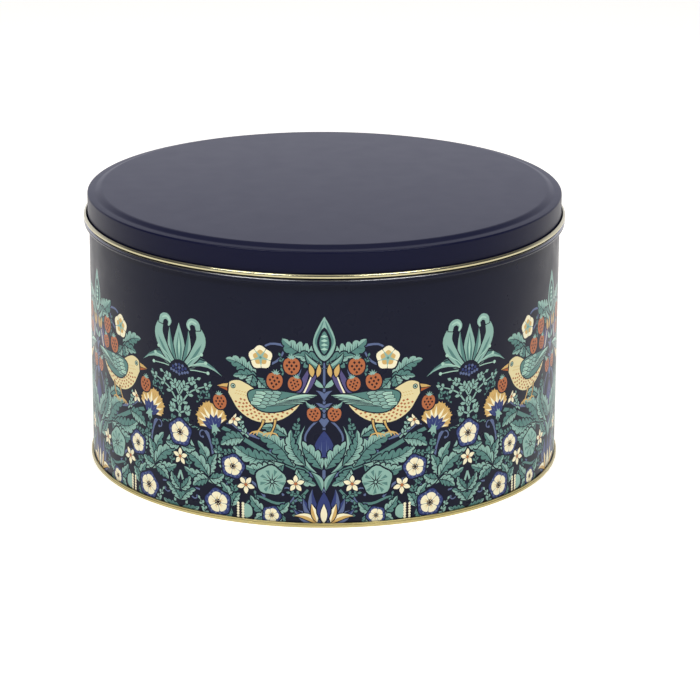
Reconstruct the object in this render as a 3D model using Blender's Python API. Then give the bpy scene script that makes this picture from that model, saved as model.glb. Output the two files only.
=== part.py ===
"""Round slip-lid cookie tin: a lid, a body wall and a base, each pressed or rolled from tinplate.

Everything is in metres with +Z up. The origin is the centre of the ring that the tin stands on, and the
wall's side seam is at +Y, the back.

Each piece is one sheet, so each is drawn in cross-section, radius against height, as the path of one face
of its sheet. The sheet's other face is that path moved sideways by the gauge, and the closed cross-section
is spun round the Z axis.
"""

from math import cos, pi, radians, sin

import bmesh
import bpy
from mathutils import Vector

# Driving dimensions of the whole tin
HEIGHT = 0.146              # from the standing ring to the top of the lid's panel
WALL_RADIUS = 0.1242        # printed face of the body wall
GAUGE = 0.00025             # thickness of the tinplate
GAP = 0.0003                # left between faces that touch or nest on the real tin
SEGMENTS = 64               # facets round each turned piece, a multiple of 4
SMOOTH_ANGLE = 35           # degrees, above which an edge between facets stays sharp

# Driving dimensions of the lid
LID_CLEARANCE = 0.00045     # all round, between the lid's skirt and the wall
PANEL_MARGIN = 0.0071       # from the skirt's outer face in to the edge of the raised panel
STEP_WIDTH = 0.0030         # the slope from the raised panel down to the ledge, seen from above
STEP_HEIGHT = 0.0015        # how far that slope falls
LEDGE_FALL = 0.0003         # how far the ledge falls from the slope's foot to the lid's corner
CORNER_BEND = 0.00055       # inside radius of the bend between the ledge and the skirt
SKIRT_DEPTH = 0.0134        # from the lid's corner down to the lowest point of its curl
LID_CURL = 0.00235          # diameter of the edge rolled outwards
LID_CURL_SWEEP = 270        # degrees that it is rolled through

# Driving dimensions of the body wall
BEAD_PROUD = 0.0027         # how far the stop bead under the lid stands out from the wall
BEAD_CREST = 0.0030         # diameter of the bead's round crest
BEAD_SWEEP = 75             # degrees of the crest above and below its middle
BEAD_FLANK = 0.00035        # how much taller than its crest the bead is at its root, above and below
MOUTH_DROP = 0.0010         # from the underside of the lid's ledge down to the curled mouth
MOUTH_CURL = 0.0018         # diameter of the edge rolled inwards
MOUTH_CURL_SWEEP = 270      # degrees that it is rolled through
SEAM_WIDTH = 0.0045         # the folded side seam
SEAM_DEPTH = 0.00055        # how far its fold stands into the tin
SEAM_BITE = 0.00008         # how far the fold is let into the wall that it is part of
SEAM_END = 0.0040           # plain lap that is left above the base and below the bead

# Driving dimensions of the base
RIM_HEIGHT = 0.0025         # the ring that locks the base to the wall
RIM_BEND = 0.0001           # inside radius of the bends in that ring
COUNTERSINK = 0.0032        # height of the base's underside over the standing plane
RISE_MARGIN = 0.0224        # from the countersink in to the edge of the middle, which is pressed up a little
RISE_HEIGHT = 0.0008
RISE_SLOPE = 0.0022         # width of the slope round that middle

# Sizes that follow from them: lid
LID_INNER_RADIUS = WALL_RADIUS + LID_CLEARANCE
LID_RADIUS = LID_INNER_RADIUS + GAUGE
PANEL_RADIUS = LID_RADIUS - PANEL_MARGIN
LEDGE_Z = HEIGHT - STEP_HEIGHT
CORNER_Z = LEDGE_Z - LEDGE_FALL
LID_BOTTOM_Z = CORNER_Z - SKIRT_DEPTH

# Sizes that follow from them: body wall
WALL_INNER_RADIUS = WALL_RADIUS - GAUGE
BEAD_Z = LID_BOTTOM_Z - GAP - BEAD_CREST / 2
BEAD_ROOT = BEAD_CREST / 2 + BEAD_FLANK
MOUTH_Z = CORNER_Z - GAUGE - MOUTH_DROP
HOOK_RADIUS = WALL_RADIUS + GAP
WALL_BOTTOM_Z = GAUGE + GAP

# Sizes that follow from them: base
RIM_RADIUS = HOOK_RADIUS + GAUGE + GAP + GAUGE
COUNTERSINK_RADIUS = WALL_INNER_RADIUS - GAP - GAUGE
RISE_RADIUS = COUNTERSINK_RADIUS - RISE_MARGIN


def point(radius, height):
    """A corner of a cross-section."""
    return Vector((radius, height))


def bend(centre, radius, start, end, steps):
    """Points along an arc round centre, from one angle to another in degrees."""
    angles = [radians(start + (end - start) * step / steps) for step in range(steps + 1)]
    return [centre + radius * Vector((cos(angle), sin(angle))) for angle in angles]


def other_face(path):
    """The sheet's second face: the path moved one gauge to its left, with mitred corners."""
    face = []
    for index, here in enumerate(path):
        before = path[max(index - 1, 0)]
        after = path[min(index + 1, len(path) - 1)]
        arriving = ((here if index else after) - before).normalized()
        leaving = (after - (here if index < len(path) - 1 else before)).normalized()
        across = Vector((-arriving.y - leaving.y, arriving.x + leaving.x)).normalized()
        face.append(here + across * GAUGE / cos(arriving.angle(leaving) / 2))
    return face


def turn(name, path, material):
    """A solid sheet with one face along path, spun round the Z axis."""
    section = path + other_face(path)[::-1]
    mesh = bmesh.new()
    corners = [mesh.verts.new((corner.x, 0, corner.y)) for corner in section]
    edges = [mesh.edges.new(ends) for ends in zip(corners, corners[1:])]
    ends_on_axis = path[0].x == 0
    if not ends_on_axis:
        edges.append(mesh.edges.new((corners[-1], corners[0])))
    bmesh.ops.spin(
        mesh, geom=corners + edges, cent=(0, 0, 0), axis=(0, 0, 1),
        angle=2 * pi, steps=SEGMENTS, use_merge=True,
    )
    bmesh.ops.remove_doubles(mesh, verts=mesh.verts, dist=GAUGE / 1000)
    bmesh.ops.recalc_face_normals(mesh, faces=mesh.faces)
    data = bpy.data.meshes.new(name)
    mesh.to_mesh(data)
    mesh.free()
    data.shade_smooth()
    data.set_sharp_from_angle(angle=radians(SMOOTH_ANGLE))
    data.materials.append(material)
    piece = bpy.data.objects.new(name, data)
    bpy.context.collection.objects.link(piece)
    return piece


def finish(name, colour, roughness, metallic):
    """A Principled material for one of the tin's finishes, with its colour in linear light."""
    material = bpy.data.materials.new(name)
    material.use_nodes = True
    shader = material.node_tree.nodes["Principled BSDF"]
    shader.inputs["Base Color"].default_value = (*colour, 1)
    shader.inputs["Roughness"].default_value = roughness
    shader.inputs["Metallic"].default_value = metallic
    return material


def make_lid(material):
    """Raised panel, slope, ledge, skirt, and an edge rolled outwards: the path is the gold inner face."""
    corner = point(LID_INNER_RADIUS - CORNER_BEND, CORNER_Z - GAUGE - CORNER_BEND)
    curl = point(LID_INNER_RADIUS + LID_CURL / 2, LID_BOTTOM_Z + LID_CURL / 2)
    path = [
        point(0, HEIGHT - GAUGE),
        point(PANEL_RADIUS, HEIGHT - GAUGE),
        point(PANEL_RADIUS + STEP_WIDTH, LEDGE_Z - GAUGE),
    ]
    path += bend(corner, CORNER_BEND, 90, 0, 3)
    path += bend(curl, LID_CURL / 2, 180, 180 + LID_CURL_SWEEP, 6)
    return turn("lid", path, material)


def make_wall(material):
    """Hook, plain wall, stop bead, neck, and an edge rolled inwards: the path is the printed face."""
    bead = point(WALL_RADIUS + BEAD_PROUD - BEAD_CREST / 2, BEAD_Z)
    mouth = point(WALL_RADIUS - MOUTH_CURL / 2, MOUTH_Z - MOUTH_CURL / 2)
    path = [
        point(HOOK_RADIUS, RIM_HEIGHT - GAUGE - GAP),
        point(HOOK_RADIUS, WALL_BOTTOM_Z + GAUGE),
        point(WALL_RADIUS, WALL_BOTTOM_Z + GAUGE),
        point(WALL_RADIUS, BEAD_Z - BEAD_ROOT),
    ]
    path += bend(bead, BEAD_CREST / 2, -BEAD_SWEEP, BEAD_SWEEP, 4)
    path.append(point(WALL_RADIUS, BEAD_Z + BEAD_ROOT))
    path += bend(mouth, MOUTH_CURL / 2, 0, MOUTH_CURL_SWEEP, 6)
    wall = turn("body_wall", path, material)
    join_seam(wall, material)
    return wall


def join_seam(wall, material):
    """The folded side seam, a strip that stands into the tin and stops short of the base and the bead."""
    bottom = COUNTERSINK + GAUGE + SEAM_END
    top = BEAD_Z - BEAD_ROOT - SEAM_END
    front = WALL_INNER_RADIUS - SEAM_DEPTH
    back = WALL_INNER_RADIUS + SEAM_BITE
    mesh = bmesh.new()
    bmesh.ops.create_cube(mesh, size=1)
    for corner in mesh.verts:
        corner.co.x *= SEAM_WIDTH
        corner.co.y = back if corner.co.y > 0 else front
        corner.co.z = top if corner.co.z > 0 else bottom
    data = bpy.data.meshes.new("seam_fold")
    mesh.to_mesh(data)
    mesh.free()
    data.materials.append(material)
    fold = bpy.data.objects.new("seam_fold", data)
    bpy.context.collection.objects.link(fold)
    fold.hide_render = True
    fold.display_type = "WIRE"
    union = wall.modifiers.new("side_seam", "BOOLEAN")
    union.operation = "UNION"
    union.object = fold


def make_base(material):
    """Pressed middle, countersunk disc, and the ring folded over the wall's hook: the path is the underside."""
    outside_bend = RIM_BEND + GAUGE
    path = [
        point(0, COUNTERSINK + RISE_HEIGHT),
        point(RISE_RADIUS, COUNTERSINK + RISE_HEIGHT),
        point(RISE_RADIUS + RISE_SLOPE, COUNTERSINK),
        point(COUNTERSINK_RADIUS, COUNTERSINK),
    ]
    path += bend(point(COUNTERSINK_RADIUS + outside_bend, outside_bend), outside_bend, 180, 270, 2)
    path += bend(point(RIM_RADIUS - outside_bend, outside_bend), outside_bend, 270, 360, 2)
    path += bend(point(RIM_RADIUS - outside_bend, RIM_HEIGHT - outside_bend), outside_bend, 0, 90, 2)
    path.append(point(HOOK_RADIUS, RIM_HEIGHT))
    return turn("base", path, material)


def main():
    for item in list(bpy.data.objects):
        bpy.data.objects.remove(item)
    navy = finish("printed_navy", (0.013, 0.014, 0.031), roughness=0.28, metallic=0)
    gold = finish("gold_lacquer", (0.52, 0.40, 0.16), roughness=0.3, metallic=1)
    make_lid(navy)
    make_wall(navy)
    make_base(gold)


main()
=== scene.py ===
# %% [markdown]
# A round cookie tin, step by step
#
# The tin is three sheets of tinplate: a slip lid, a body wall printed with a frieze of birds and
# flowers, and a gold base whose rim locks on to the wall. The measured model of those sheets is loaded
# first. Each is then modelled again as finely as the eye can see it, in the same place and at the
# same size, and gets its real finish. Lengths are in metres unless a name or comment says otherwise.

# %% Load the measured model
from cmath import rect
from math import cos, pi, radians, sin

import bpy
import numpy as np
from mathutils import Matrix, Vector
from mathutils.geometry import delaunay_2d_cdt


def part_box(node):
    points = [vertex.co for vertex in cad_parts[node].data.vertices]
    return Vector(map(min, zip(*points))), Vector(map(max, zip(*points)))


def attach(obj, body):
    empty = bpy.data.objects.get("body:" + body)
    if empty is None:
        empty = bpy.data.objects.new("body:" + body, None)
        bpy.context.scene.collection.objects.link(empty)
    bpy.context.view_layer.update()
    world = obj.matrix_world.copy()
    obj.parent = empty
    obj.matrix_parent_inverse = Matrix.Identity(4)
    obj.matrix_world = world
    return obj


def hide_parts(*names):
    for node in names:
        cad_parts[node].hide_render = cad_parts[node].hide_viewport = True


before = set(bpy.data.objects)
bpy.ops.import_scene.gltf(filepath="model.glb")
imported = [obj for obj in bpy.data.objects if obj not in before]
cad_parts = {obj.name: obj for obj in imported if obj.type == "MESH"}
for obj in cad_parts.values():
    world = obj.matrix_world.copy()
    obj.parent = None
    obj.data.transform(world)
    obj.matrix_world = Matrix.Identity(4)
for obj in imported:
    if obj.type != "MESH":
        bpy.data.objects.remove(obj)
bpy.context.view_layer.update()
print("sheets in the measured model:", len(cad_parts))
lid_low, lid_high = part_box("lid")
wall_low, wall_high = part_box("body_wall")
base_low, base_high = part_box("base")
print("lid", lid_low, lid_high)
print("body wall", wall_low, wall_high)
print("base", base_low, base_high)

# %% [markdown]
# Every height and radius that follows hangs on those boxes, so the pieces can't drift from the
# measured model. A sheet of tinplate is only a quarter of a millimetre thick. That gauge matters
# wherever an edge is rolled, because a roll turns the other face of the sheet outwards.

# %% Measures
MM = 0.001
GAUGE = 0.25 * MM
NEAR = 0.01 * MM            # two places closer than this are the same place
TURN_STEPS = 240            # facets round the lid and the base

LID_TOP = lid_high.z
LID_FOOT = lid_low.z
LID_CURL = 2.35 * MM        # diameter of the edge rolled outwards
LID_RADIUS = lid_high.x - LID_CURL + GAUGE
PANEL_RADIUS = LID_RADIUS - 7.1 * MM
LEDGE_RADIUS = PANEL_RADIUS + 3.0 * MM
LEDGE_Z = LID_TOP - 1.5 * MM
CORNER_Z = LEDGE_Z - 0.3 * MM

BEAD_CREST = 3.0 * MM       # diameter of the stop bead's round crest
BEAD_SWEEP = 150            # degrees of the circle that the crest takes up
BEAD_RADIUS = wall_high.x - BEAD_CREST / 2
BEAD_Z = LID_FOOT - 1.8 * MM
BEAD_ROOT = 1.85 * MM       # from the bead's middle to where it leaves the wall
WALL_RADIUS = wall_high.x - 2.7 * MM
LINING_RADIUS = WALL_RADIUS - GAUGE
MOUTH_CURL = 1.8 * MM       # diameter of the edge rolled inwards
MOUTH_Z = wall_high.z - MOUTH_CURL / 2

RIM_RADIUS = base_high.x
RIM_HEIGHT = 2.5 * MM
HOOK_RADIUS = WALL_RADIUS + 0.3 * MM
COUNTERSINK_RADIUS = LINING_RADIUS - 0.55 * MM
COUNTERSINK_Z = base_high.z - GAUGE - 0.8 * MM
print("wall radius", round(WALL_RADIUS / MM, 2), "mm, lid radius", round(LID_RADIUS / MM, 2), "mm")

# %% [markdown]
# Inks and lacquers are picked as six-digit colours, the way a printer would note them. A renderer adds
# up light, so each is turned from the screen's curve to linear light, once, by the same function.

# %% Colours
def linear(code):
    """A colour given as six hex digits, in linear light with full opacity."""
    parts = [int(code[start:start + 2], 16) / 255 for start in (0, 2, 4)]
    return (*(p / 12.92 if p <= 0.04045 else ((p + 0.055) / 1.055) ** 2.4 for p in parts), 1.0)


print("navy in linear light", [round(part, 4) for part in linear("10122B")[:3]])

# %% [markdown]
# Every finish is a small network of nodes. One helper adds a node, sets it up and wires it in, so the
# cells below read as a list of what the finish is made of.

# %% One helper for every node
def add(tree, kind, inputs=None, **settings):
    """Adds a node with its settings. An input is given a value, or another node's output to follow."""
    node = tree.nodes.new("ShaderNode" + kind)
    for name, value in settings.items():
        setattr(node, name, value)
    for name, value in (inputs or {}).items():
        if isinstance(value, bpy.types.NodeSocket):
            tree.links.new(value, node.inputs[name])
        else:
            node.inputs[name].default_value = value
    return node


def new_finish(name):
    """An empty material, its shader, and the place on the piece in metres that its patterns follow."""
    material = bpy.data.materials.new(name)
    material.use_nodes = True
    tree = material.node_tree
    return material, tree, tree.nodes["Principled BSDF"], add(tree, "TexCoord").outputs["Object"]


# %% [markdown]
# **The varnished print.** The wall is offset-printed on the flat sheet and roller-coated with a clear
# varnish that is then baked hard. The ink itself is dead even, so its colour is one value. What the
# eye reads as a real sheet is in the gloss: the varnish dries with a fine orange-peel texture about
# 1.5 mm across, and rolled tinplate is never quite flat but has long shallow waves some 30 mm apart.
# Both are noise that only tilts the surface, and a third noise makes the gloss vary a little. Where
# rolls have pressed the sheet into a bead, the same print is smoother, and on the bead's upper half,
# which the lid rubs each time it is put on, the varnish is polished bright.

# %% Varnish over a printed ink
ORANGE_PEEL = 1.5 * MM
SHEET_WAVES = 30 * MM
GLOSS_PATCHES = 12 * MM
PEEL_HEIGHT = 0.02 * MM
WAVE_HEIGHT = 0.5 * MM


def varnish(tree, shader, place, dullest, glossiest, peel, waves):
    """The baked coat: its gloss wanders between two values, over fine peel and long shallow waves."""
    patches = add(tree, "TexNoise", {"Vector": place, "Scale": 1 / GLOSS_PATCHES, "Detail": 3.0})
    gloss = add(tree, "MapRange", {"Value": patches.outputs["Fac"], "From Min": 0.3, "From Max": 0.7,
                                   "To Min": glossiest, "To Max": dullest})
    fine = add(tree, "TexNoise", {"Vector": place, "Scale": 1 / ORANGE_PEEL, "Detail": 2.0})
    long = add(tree, "TexNoise", {"Vector": place, "Scale": 1 / SHEET_WAVES, "Detail": 1.0})
    skin = add(tree, "Bump", {"Height": fine.outputs["Fac"], "Strength": peel, "Distance": PEEL_HEIGHT})
    sheet = add(tree, "Bump", {"Height": long.outputs["Fac"], "Strength": waves,
                               "Distance": WAVE_HEIGHT, "Normal": skin.outputs["Normal"]})
    tree.links.new(gloss.outputs["Result"], shader.inputs["Roughness"])
    tree.links.new(sheet.outputs["Normal"], shader.inputs["Normal"])


def printed_ink(name, code, shine, dullest, glossiest):
    """Offset litho ink under clear stoving varnish: an even colour with a soft satin gloss."""
    material, tree, shader, place = new_finish(name)
    shader.inputs["Base Color"].default_value = linear(code)
    shader.inputs["Specular IOR Level"].default_value = shine
    varnish(tree, shader, place, dullest, glossiest, peel=0.4, waves=0.12)
    return material


PRINT_SHINE = 0.1           # the matt varnish mirrors less than bare plastic does, which is 0.5
POLISHED_SHINE = 1.0        # the rubbed varnish mirrors more
INK_CODES = {
    "ground": "131628", "leaf": "8AB0A4", "leaf_shade": "557F79", "leaf_pale": "A6CBBA",
    "vine": "5B698D", "deep_blue": "323D70", "cream": "EFE8C6", "straw": "DFD2A0", "ochre": "CDAA68",
    "berry": "AE6843", "umber": "2A1A20", "plum": "56507C", "rust": "A85E34",
}
INKS = list(INK_CODES)
prints = {ink: printed_ink("litho_ink_" + ink, code, PRINT_SHINE, 0.36, 0.26)
          for ink, code in INK_CODES.items()}
NAVY = INK_CODES["ground"]
pressed = printed_ink("navy_print_pressed_by_beading_rolls", NAVY, PRINT_SHINE, 0.16, 0.12)
polished = printed_ink("navy_print_polished_by_the_lid", NAVY, POLISHED_SHINE, 0.26, 0.2)
clear_coat = polished.node_tree.nodes["Principled BSDF"].inputs
clear_coat["Coat Weight"].default_value = 1.0
clear_coat["Coat Roughness"].default_value = 0.24
print(len(prints), "inks:", ", ".join(INKS))
print("on the bead:", pressed.name, "and", polished.name)

# %% [markdown]
# **The lid's enamel.** The lid is roller-coated with a solid navy enamel and pressed afterwards. Its
# surface is satin, a little duller than the varnished print, and pressing stretches the coat, which
# leaves the faintest cloudiness in the colour.

# %% Navy roller-coat enamel
ENAMEL_CLOUDS = 40 * MM
ENAMEL_SHINE = 0.145


def navy_enamel():
    """Solid navy stoving enamel on tinplate: very dark, satin, with a soft even reflection."""
    material, tree, shader, place = new_finish("navy_roller_coat_enamel")
    clouds = add(tree, "TexNoise", {"Vector": place, "Scale": 1 / ENAMEL_CLOUDS, "Detail": 2.0})
    coat = add(tree, "Mix", {"Factor": clouds.outputs["Fac"], 6: linear("080B28"), 7: linear("090C2A")},
               data_type="RGBA")
    tree.links.new(coat.outputs[2], shader.inputs["Base Color"])
    shader.inputs["Specular IOR Level"].default_value = ENAMEL_SHINE
    varnish(tree, shader, place, dullest=0.36, glossiest=0.34, peel=0.4, waves=0.02)
    return material


enamel = navy_enamel()
print("lid's finish:", enamel.name)

# %% [markdown]
# **Gold lacquer.** The base, the inside and both rolled edges show tinplate under a transparent gold
# lacquer. The light comes back from the tin, so it is a metal tinted pale olive gold, and it deepens a
# little where the lacquer lies thicker. The rollers that curl and seam the edges leave hair-fine lines
# that run round the tin. So that pattern reads only the distance from the axis and the height. Real
# lines are too fine to see, so they are drawn 0.4 mm apart.

# %% Gold stoving lacquer on tinplate
ROLLING_LINES = 0.4 * MM
LACQUER_POOLS = 18 * MM     # how far apart the lacquer lies thin and thick


def gold_lacquer(name, thin, thick, glossiest, dullest):
    """Bright tinplate under gold lacquer: a tinted metal, with fine lines run round it by rollers."""
    material, tree, shader, place = new_finish(name)
    depth = add(tree, "TexNoise", {"Vector": place, "Scale": 1 / LACQUER_POOLS, "Detail": 3.0})
    tint = add(tree, "Mix", {"Factor": depth.outputs["Fac"], 6: linear(thin), 7: linear(thick)},
               data_type="RGBA")
    parts = add(tree, "SeparateXYZ", {"Vector": place})
    flat = add(tree, "CombineXYZ", {"X": parts.outputs["X"], "Y": parts.outputs["Y"]})
    reach = add(tree, "VectorMath", {0: flat.outputs["Vector"]}, operation="LENGTH")
    section = add(tree, "CombineXYZ", {"Y": reach.outputs["Value"], "Z": parts.outputs["Z"]})
    lines = add(tree, "TexNoise", {"Vector": section.outputs["Vector"], "Scale": 1 / ROLLING_LINES,
                                   "Detail": 2.0})
    gloss = add(tree, "MapRange", {"Value": lines.outputs["Fac"], "From Min": 0.3, "From Max": 0.7,
                                   "To Min": glossiest, "To Max": dullest})
    scratch = add(tree, "Bump", {"Height": lines.outputs["Fac"], "Strength": 0.015,
                                 "Distance": 0.01 * MM})
    tree.links.new(tint.outputs[2], shader.inputs["Base Color"])
    tree.links.new(gloss.outputs["Result"], shader.inputs["Roughness"])
    tree.links.new(scratch.outputs["Normal"], shader.inputs["Normal"])
    shader.inputs["Metallic"].default_value = 1.0
    return material


deep_gold = gold_lacquer("deep_gold_lacquered_tinplate", "B8AC7C", "A99D68", 0.26, 0.32)
pale_gold = gold_lacquer("pale_gold_lacquered_tinplate", "C2BC9A", "B4AC86", 0.16, 0.22)
print("gold finishes:", deep_gold.name, "and", pale_gold.name)

# %% [markdown]
# **How a pressed sheet is drawn.** All three sheets are the same all the way round. So only the
# cross-section of one face is drawn, point by point, by extruding a single point from place to place.
# A rolled edge is the last point spun round the roll's centre, and a pressed bend is a sharp corner
# that is bevelled afterwards. Then the line is spun round the upright axis. This is how the dies that
# press the real sheets are laid out, too, and it keeps every bend a true circle. Operators act on what
# is selected, so two small helpers select by place, or select all.

# %% Drawing and turning a section
def select_places(piece, wanted):
    """Selects the points whose place passes the test, and nothing else."""
    bpy.ops.object.mode_set(mode="OBJECT")
    mesh = piece.data
    mesh.edges.foreach_set("select", [False] * len(mesh.edges))
    mesh.polygons.foreach_set("select", [False] * len(mesh.polygons))
    mesh.vertices.foreach_set("select", [wanted(corner.co) for corner in mesh.vertices])
    bpy.ops.object.mode_set(mode="EDIT")


def edit_all():
    """Goes to edit mode with the whole piece selected."""
    bpy.ops.object.mode_set(mode="EDIT")
    bpy.ops.mesh.select_all(action="SELECT")


def draw_section(name, corners):
    """Starts a piece as one point and extrudes it through the section's corners (radius, height)."""
    bpy.ops.object.select_all(action="DESELECT")
    bpy.ops.mesh.primitive_plane_add(size=MM)
    piece = bpy.context.object
    piece.name = piece.data.name = name
    bpy.ops.object.mode_set(mode="EDIT")
    bpy.ops.mesh.merge(type="CENTER")
    bpy.ops.transform.translate(value=(corners[0][0], 0, corners[0][1]))
    extend_section(corners)
    return piece


def extend_section(corners):
    """Extrudes the selected point, which is at the first corner, on through the others."""
    for (radius, height), (next_radius, next_height) in zip(corners, corners[1:]):
        step = (next_radius - radius, 0, next_height - height)
        bpy.ops.mesh.extrude_vertices_move(TRANSFORM_OT_translate={"value": step})


def roll_edge(radius, height, degrees, steps):
    """Spins the last point of the section round a centre, to roll the edge up."""
    bpy.ops.mesh.spin(steps=steps, angle=radians(degrees), center=(radius, 0, height), axis=(0, 1, 0))


def round_corner(piece, corner, reach, steps=5):
    """Bevels one sharp corner of the section into a bend that starts this far along both its sides."""
    place = Vector((corner[0], 0, corner[1]))
    select_places(piece, lambda here: (here - place).length < NEAR)
    bpy.ops.mesh.bevel(offset=reach, segments=steps, affect="VERTICES")


def close_up():
    """Merges the points that lie in one place and turns every face outwards."""
    edit_all()
    bpy.ops.mesh.remove_doubles(threshold=NEAR / 10)
    bpy.ops.mesh.normals_make_consistent(inside=False)
    bpy.ops.object.mode_set(mode="OBJECT")


def turn_section(steps):
    """Spins the section right round the tin's axis and closes it where it meets itself."""
    edit_all()
    bpy.ops.mesh.spin(steps=steps, angle=2 * pi, center=(0, 0, 0), axis=(0, 0, 1))
    close_up()


print("a section is turned in", TURN_STEPS, "steps of", 360 / TURN_STEPS, "degrees")

# %% [markdown]
# **The lid.** On the real lid a flat panel is pressed up, with a short slope down to a narrow ledge, a
# straight skirt, and the raw edge rolled outwards so that nobody is cut by it. Only the navy face is
# drawn. The Solidify modifier then gives the sheet its gauge behind that face and takes the next
# material for it, the gold one. The curl turns that back face outwards, which is why a navy lid has a
# gold edge. An open sheet has no inside, so the face's direction is tested at its middle.

# %% Press the lid
ROLL_SWEEP = 270            # degrees that the lid's curl and the mouth's turn through
ROLL_STEPS = 14
SMOOTH_BELOW = radians(40)  # sharper edges than this stay crisp


def make_lid():
    """The navy face: flat panel, slope, ledge, skirt and curl."""
    curl_radius = LID_RADIUS + LID_CURL / 2 - GAUGE
    curl_z = LID_FOOT + LID_CURL / 2
    panel_edge = (PANEL_RADIUS, LID_TOP)
    slope_foot = (LEDGE_RADIUS, LEDGE_Z)
    corner = (LID_RADIUS, CORNER_Z)
    lid = draw_section("slip_lid", [(0, LID_TOP), panel_edge, slope_foot, corner, (LID_RADIUS, curl_z)])
    roll_edge(curl_radius, curl_z, ROLL_SWEEP, ROLL_STEPS)
    round_corner(lid, panel_edge, 0.9 * MM)
    round_corner(lid, slope_foot, 0.7 * MM)
    round_corner(lid, corner, 0.8 * MM)
    turn_section(TURN_STEPS)
    return lid


def face_middle(piece, up):
    """Turns the drawn face over unless its middle faces up, for 1, or down, for -1."""
    middle = min(piece.data.polygons, key=lambda face: face.center.xy.length)
    if middle.normal.z * up < 0:
        piece.data.flip_normals()


def give_gauge(piece, face, back):
    """Gives a drawn face the thickness of its sheet. The cut edge takes the back's finish."""
    for finish in (face, back):
        piece.data.materials.append(finish)
    sheet = piece.modifiers.new("sheet", "SOLIDIFY")
    sheet.thickness = GAUGE
    sheet.offset = -1
    sheet.use_even_offset = True
    sheet.material_offset = 1
    sheet.material_offset_rim = 1
    bpy.ops.object.modifier_apply(modifier=sheet.name)
    bpy.ops.object.shade_smooth_by_angle(angle=SMOOTH_BELOW)


def size_of(piece):
    """The piece's sides in millimetres, to print."""
    return [round(side / MM, 2) for side in piece.dimensions]


lid = make_lid()
face_middle(lid, 1)
give_gauge(lid, enamel, pale_gold)
print("lid", len(lid.data.polygons), "faces,", size_of(lid), "mm")

# %% [markdown]
# **The base.** It is a shallow countersunk disc with a middle pressed up by less than a millimetre, so
# that the tin stands on its rim and not on a bulge. The rim is folded over the foot of the wall. The
# seaming rolls leave it as two strands, a broad one that the tin stands on and a thin one above it,
# with a fine dark groove between. The underside is drawn, and Solidify adds the gauge above it.

# %% Press the base and seam its rim
def make_base():
    """The underside: stamped middle, countersink and the two strands of the seamed rim."""
    middle = (COUNTERSINK_RADIUS - 22.4 * MM, COUNTERSINK_Z + 0.8 * MM)
    middle_foot = (COUNTERSINK_RADIUS - 20.2 * MM, COUNTERSINK_Z)
    wall_foot = (COUNTERSINK_RADIUS, COUNTERSINK_Z)
    inner_stand = (COUNTERSINK_RADIUS, 0)
    outer_stand = (RIM_RADIUS, 0)
    strand_top = (RIM_RADIUS, 1.45 * MM)
    groove = (RIM_RADIUS - 0.28 * MM, 1.62 * MM)
    thin_strand = (RIM_RADIUS - 0.04 * MM, 1.80 * MM)
    rim_top = (RIM_RADIUS - 0.04 * MM, RIM_HEIGHT)
    base = draw_section("base_with_rim", [
        (0, middle[1]), middle, middle_foot, wall_foot, inner_stand, outer_stand,
        strand_top, groove, thin_strand, rim_top, (HOOK_RADIUS, RIM_HEIGHT),
    ])
    for corner, reach in ((middle, 0.8), (middle_foot, 0.8), (wall_foot, 0.3), (inner_stand, 0.35),
                          (outer_stand, 0.5), (strand_top, 0.09), (thin_strand, 0.09),
                          (rim_top, 0.28)):
        round_corner(base, corner, reach * MM, 4)
    turn_section(TURN_STEPS)
    return base


base = make_base()
face_middle(base, -1)
give_gauge(base, deep_gold, deep_gold)
print("base", len(base.data.polygons), "faces,", size_of(base), "mm")

# %% [markdown]
# **The frieze.** A printed sheet carries its picture as separate flat inks, so here each patch of ink
# is a real patch of the wall's surface with its own ink on it. It stays sharp at any distance, where a
# picture file would blur. The drawing is done on the flat sheet, as a printer would, in millimetres:
# across is along the wall and up is up. A complex number is a handy point for this, because
# multiplying by a direction turns and scales a whole motif at once. One half of one repeat is drawn.
# Shapes are laid down like cut paper, and a later one covers what lies under it. Most get a rim of
# ground first, which is what keeps crowded motifs apart in block prints.

# %% Lines and outlines
HALF = 78.0                 # millimetres from the birds' mirror line to the fan plant's
laid = []                   # the cut papers so far, each an ink and its outline


def lay(ink, outline):
    """Puts one more cut paper on top of those before."""
    laid.append((ink, outline))


def lay_turned(ink, at, way, shape):
    """Lays a shape drawn pointing right from zero: moved to its place, turned and scaled by way."""
    lay(ink, [at + way * p for p in shape])


def flow(points, steps, closed=False):
    """A smooth line through a few given points."""
    count = len(points)
    line = []
    for i in range(count if closed else count - 1):
        near = [i + k - 1 for k in range(4)]
        a, b, c, d = (points[n % count] if closed else points[min(max(n, 0), count - 1)] for n in near)
        for t in (s / steps for s in range(steps)):
            line.append(b + (c - a) * t / 2 + (2 * a - 5 * b + 4 * c - d) * t ** 2 / 2
                        + (3 * b - a - 3 * c + d) * t ** 3 / 2)
    return line if closed else line + [points[-1]]


def heading(step):
    """The direction of a step, as a number of length one."""
    return step / abs(step) if abs(step) else 1


def turning(outline):
    """Twice the outline's area, which is negative where it runs clockwise."""
    return sum((a.conjugate() * b).imag for a, b in zip(outline, outline[1:] + outline[:1]))


def grown(outline, by):
    """The outline moved outwards, for the rim of ground round a motif."""
    side = -1j if turning(outline) > 0 else 1j
    ahead = outline[1:] + outline[:1]
    return [here + by * side * heading(heading(here - before) + heading(after - here))
            for before, here, after in zip(outline[-1:] + outline[:-1], outline, ahead)]


def rimmed(ink, outline, by=0.7):
    """Lays a paper over a rim of ground that is this wide, if it has one."""
    if by:
        lay("ground", grown(outline, by))
    lay(ink, outline)


def mirrored(foot, side):
    """A smooth outline across the mirror line, given its foot and its right side."""
    return flow([foot] + side + [-p.conjugate() for p in side[::-1]], 3, True)


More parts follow.
